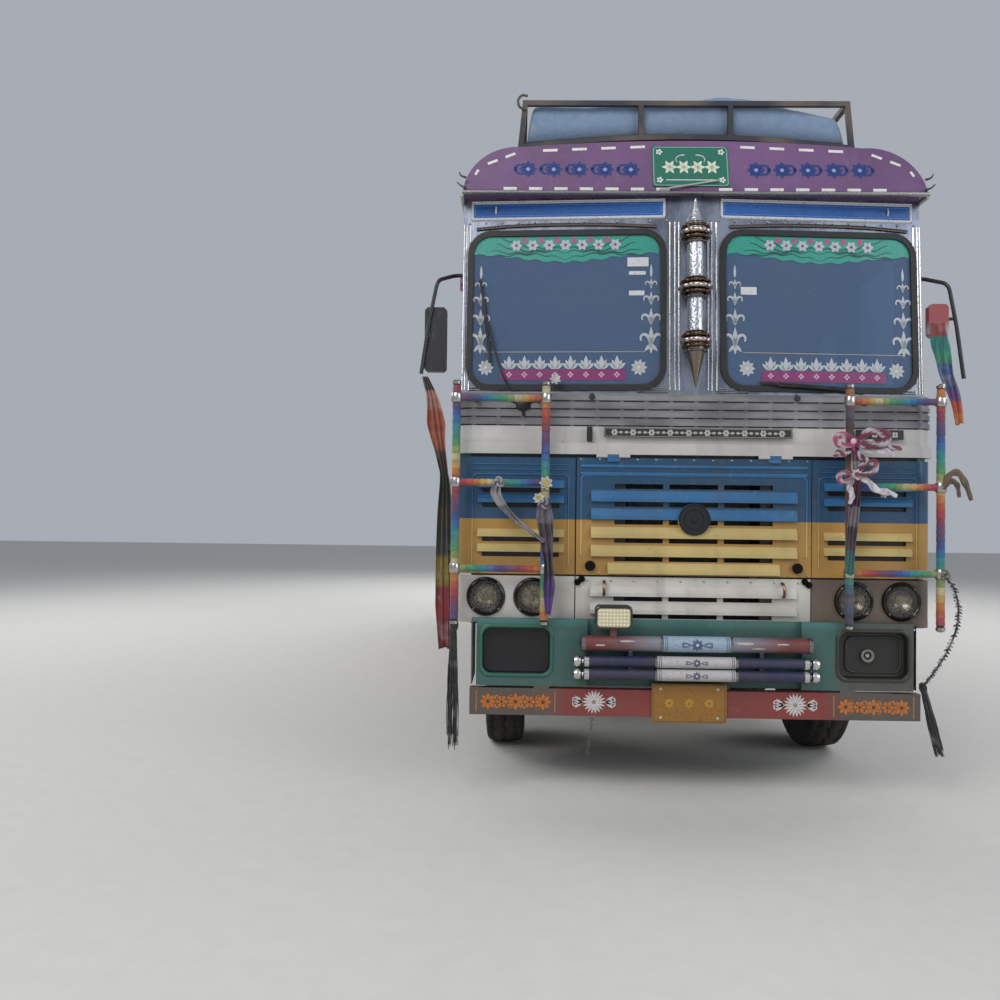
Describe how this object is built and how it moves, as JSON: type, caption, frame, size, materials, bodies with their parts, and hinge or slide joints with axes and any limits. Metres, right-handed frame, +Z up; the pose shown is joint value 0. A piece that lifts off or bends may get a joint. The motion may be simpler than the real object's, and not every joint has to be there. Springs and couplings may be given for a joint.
{
  "type": "decorated truck",
  "caption": "Haulage truck with a painted sleeper cab, louvred grille flap, roof carrier, guard pipes and an open boarded load body with a drop tailgate.",
  "frame": {"origin": "on the ground at the centre of the bounding box", "axes": "-Y is the way it drives, +X is its left side, +Z is up"},
  "size_m": [2.9698, 10.3999, 3.9069],
  "materials": {
    "bumper_fascia": "green paint",
    "bumper_rail": "red paint",
    "bumper_tubes": "blue paint with silver bands",
    "cab_floor": "dusty grey paint",
    "cab_glass": "tinted glass",
    "cab_roof": "mauve paint",
    "cab_shell": "mauve paint",
    "chassis_frame": "road-worn black paint",
    "corner_panels": "blue and yellow paint",
    "dashboard": "dark plastic",
    "door_glass_left": "tinted glass",
    "door_glass_right": "tinted glass",
    "door_left": "mauve paint",
    "door_right": "mauve paint",
    "drive_axles": "rust-brown",
    "engine_block": "oily grey",
    "front_axles": "rust-brown",
    "grille_flap": "blue and yellow paint",
    "guard_pipes": "banded in many colours",
    "headboard": "painted boards",
    "headlamps": "clear lens",
    "knuckle_first_left": "rust-brown",
    "knuckle_first_right": "rust-brown",
    "knuckle_second_left": "rust-brown",
    "knuckle_second_right": "rust-brown",
    "load_floor": "worn boards",
    "lower_panels": "white paint",
    "mirrors": "black plastic",
    "mudguards": "dull black paint",
    "name_panel": "white paint",
    "roof_carrier": "weathered grey paint",
    "screen_frames": "bright embossed sheet",
    "screen_gaskets": "black rubber",
    "seats": "dark red cloth",
    "side_walls": "painted boards",
    "spare_wheel": "worn rubber",
    "spear_ornament": "hammered bright metal",
    "streamers": "cloth tassels",
    "tailgate": "painted boards",
    "tank_and_battery": "dull grey paint",
    "tarpaulin": "blue-grey canvas",
    "tie_rod_first": "rust-brown",
    "tie_rod_second": "rust-brown",
    "tyre_first_left": "worn rubber",
    "tyre_first_right": "worn rubber",
    "tyre_second_left": "worn rubber",
    "tyre_second_right": "worn rubber",
    "tyres_fourth_left": "worn rubber",
    "tyres_fourth_right": "worn rubber",
    "tyres_third_left": "worn rubber",
    "tyres_third_right": "worn rubber",
    "under_guards": "red and white paint",
    "wheel_first_left": "red-brown paint",
    "wheel_first_right": "red-brown paint",
    "wheel_fourth_left": "red-brown paint",
    "wheel_fourth_right": "red-brown paint",
    "wheel_second_left": "red-brown paint",
    "wheel_second_right": "red-brown paint",
    "wheel_third_left": "red-brown paint",
    "wheel_third_right": "red-brown paint"
  },
  "bodies": {
    "chassis": {"bumper_fascia": "bumper_fascia", "bumper_rail": "bumper_rail", "bumper_tubes": "bumper_tubes", "cab_floor": "cab_floor", "cab_glass": "cab_glass", "cab_roof": "cab_roof", "cab_shell": "cab_shell", "chassis_frame": "chassis_frame", "corner_panels": "corner_panels", "dashboard": "dashboard", "drive_axles": "drive_axles", "engine_block": "engine_block", "front_axles": "front_axles", "guard_pipes": "guard_pipes", "headboard": "headboard", "headlamps": "headlamps", "load_floor": "load_floor", "lower_panels": "lower_panels", "mirrors": "mirrors", "mudguards": "mudguards", "name_panel": "name_panel", "roof_carrier": "roof_carrier", "screen_frames": "screen_frames", "screen_gaskets": "screen_gaskets", "seats": "seats", "side_walls": "side_walls", "spare_wheel": "spare_wheel", "spear_ornament": "spear_ornament", "streamers": "streamers", "tank_and_battery": "tank_and_battery", "tarpaulin": "tarpaulin", "under_guards": "under_guards"},
    "knuckle_first_left": {"knuckle_first_left": "knuckle_first_left"},
    "road_wheel_first_left": {"tyre_first_left": "tyre_first_left", "wheel_first_left": "wheel_first_left"},
    "knuckle_first_right": {"knuckle_first_right": "knuckle_first_right"},
    "road_wheel_first_right": {"tyre_first_right": "tyre_first_right", "wheel_first_right": "wheel_first_right"},
    "tie_rod_first": {"tie_rod_first": "tie_rod_first"},
    "knuckle_second_left": {"knuckle_second_left": "knuckle_second_left"},
    "road_wheel_second_left": {"tyre_second_left": "tyre_second_left", "wheel_second_left": "wheel_second_left"},
    "knuckle_second_right": {"knuckle_second_right": "knuckle_second_right"},
    "road_wheel_second_right": {"tyre_second_right": "tyre_second_right", "wheel_second_right": "wheel_second_right"},
    "tie_rod_second": {"tie_rod_second": "tie_rod_second"},
    "twin_wheel_third_left": {"tyres_third_left": "tyres_third_left", "wheel_third_left": "wheel_third_left"},
    "twin_wheel_third_right": {"tyres_third_right": "tyres_third_right", "wheel_third_right": "wheel_third_right"},
    "twin_wheel_fourth_left": {"tyres_fourth_left": "tyres_fourth_left", "wheel_fourth_left": "wheel_fourth_left"},
    "twin_wheel_fourth_right": {"tyres_fourth_right": "tyres_fourth_right", "wheel_fourth_right": "wheel_fourth_right"},
    "door_left": {"door_left": "door_left", "door_glass_left": "door_glass_left"},
    "door_right": {"door_right": "door_right", "door_glass_right": "door_glass_right"},
    "grille_flap": {"grille_flap": "grille_flap"},
    "tailgate": {"tailgate": "tailgate"}
  },
  "joints": [
    {"name": "steer_first_left", "type": "hinge", "parent": "chassis", "child": "knuckle_first_left", "pos_m": [0.89, -3.82, 0.525], "axis": [0, 0, 1], "range_deg": [-35, 35]},
    {"name": "roll_first_left", "type": "hinge", "parent": "knuckle_first_left", "child": "road_wheel_first_left", "pos_m": [1, -3.82, 0.525], "axis": [1, 0, 0], "continuous": true},
    {"name": "steer_first_right", "type": "hinge", "parent": "chassis", "child": "knuckle_first_right", "pos_m": [-0.89, -3.82, 0.525], "axis": [0, 0, 1], "range_deg": [-35, 35]},
    {"name": "roll_first_right", "type": "hinge", "parent": "knuckle_first_right", "child": "road_wheel_first_right", "pos_m": [-1, -3.82, 0.525], "axis": [1, 0, 0], "continuous": true},
    {"name": "tie_rod_first_turn", "type": "hinge", "parent": "knuckle_first_left", "child": "tie_rod_first", "pos_m": [0.842, -3.595, 0.384], "axis": [0, 0, 1], "range_deg": [-35, 35]},
    {"name": "steer_second_left", "type": "hinge", "parent": "chassis", "child": "knuckle_second_left", "pos_m": [0.89, -2.02, 0.525], "axis": [0, 0, 1], "range_deg": [-24.5, 24.5]},
    {"name": "roll_second_left", "type": "hinge", "parent": "knuckle_second_left", "child": "road_wheel_second_left", "pos_m": [1, -2.02, 0.525], "axis": [1, 0, 0], "continuous": true},
    {"name": "steer_second_right", "type": "hinge", "parent": "chassis", "child": "knuckle_second_right", "pos_m": [-0.89, -2.02, 0.525], "axis": [0, 0, 1], "range_deg": [-24.5, 24.5]},
    {"name": "roll_second_right", "type": "hinge", "parent": "knuckle_second_right", "child": "road_wheel_second_right", "pos_m": [-1, -2.02, 0.525], "axis": [1, 0, 0], "continuous": true},
    {"name": "tie_rod_second_turn", "type": "hinge", "parent": "knuckle_second_left", "child": "tie_rod_second", "pos_m": [0.842, -1.795, 0.384], "axis": [0, 0, 1], "range_deg": [-24.5, 24.5]},
    {"name": "roll_third_left", "type": "hinge", "parent": "chassis", "child": "twin_wheel_third_left", "pos_m": [0.925, 1.54, 0.525], "axis": [1, 0, 0], "continuous": true},
    {"name": "roll_third_right", "type": "hinge", "parent": "chassis", "child": "twin_wheel_third_right", "pos_m": [-0.925, 1.54, 0.525], "axis": [1, 0, 0], "continuous": true},
    {"name": "roll_fourth_left", "type": "hinge", "parent": "chassis", "child": "twin_wheel_fourth_left", "pos_m": [0.925, 2.92, 0.525], "axis": [1, 0, 0], "continuous": true},
    {"name": "roll_fourth_right", "type": "hinge", "parent": "chassis", "child": "twin_wheel_fourth_right", "pos_m": [-0.925, 2.92, 0.525], "axis": [1, 0, 0], "continuous": true},
    {"name": "door_left_swing", "type": "hinge", "parent": "chassis", "child": "door_left", "pos_m": [1.269, -4.756, 2.15], "axis": [0, 0, -1], "range_deg": [0, 70]},
    {"name": "door_right_swing", "type": "hinge", "parent": "chassis", "child": "door_right", "pos_m": [-1.269, -4.756, 2.15], "axis": [0, 0, 1], "range_deg": [0, 70]},
    {"name": "grille_flap_lift", "type": "hinge", "parent": "chassis", "child": "grille_flap", "pos_m": [0, -5.064, 1.79], "axis": [-1, 0, 0], "range_deg": [0, 75]},
    {"name": "tailgate_drop", "type": "hinge", "parent": "chassis", "child": "tailgate", "pos_m": [0, 5.184, 1.236], "axis": [-1, 0, 0], "range_deg": [0, 180]}
  ],
  "couplings": [
    {"joint": "steer_first_right", "follows": "steer_first_left", "ratio": 1},
    {"joint": "tie_rod_first_turn", "follows": "steer_first_left", "ratio": -1},
    {"joint": "steer_second_left", "follows": "steer_first_left", "ratio": 0.7},
    {"joint": "steer_second_right", "follows": "steer_first_left", "ratio": 0.7},
    {"joint": "tie_rod_second_turn", "follows": "steer_first_left", "ratio": -0.7}
  ]
}
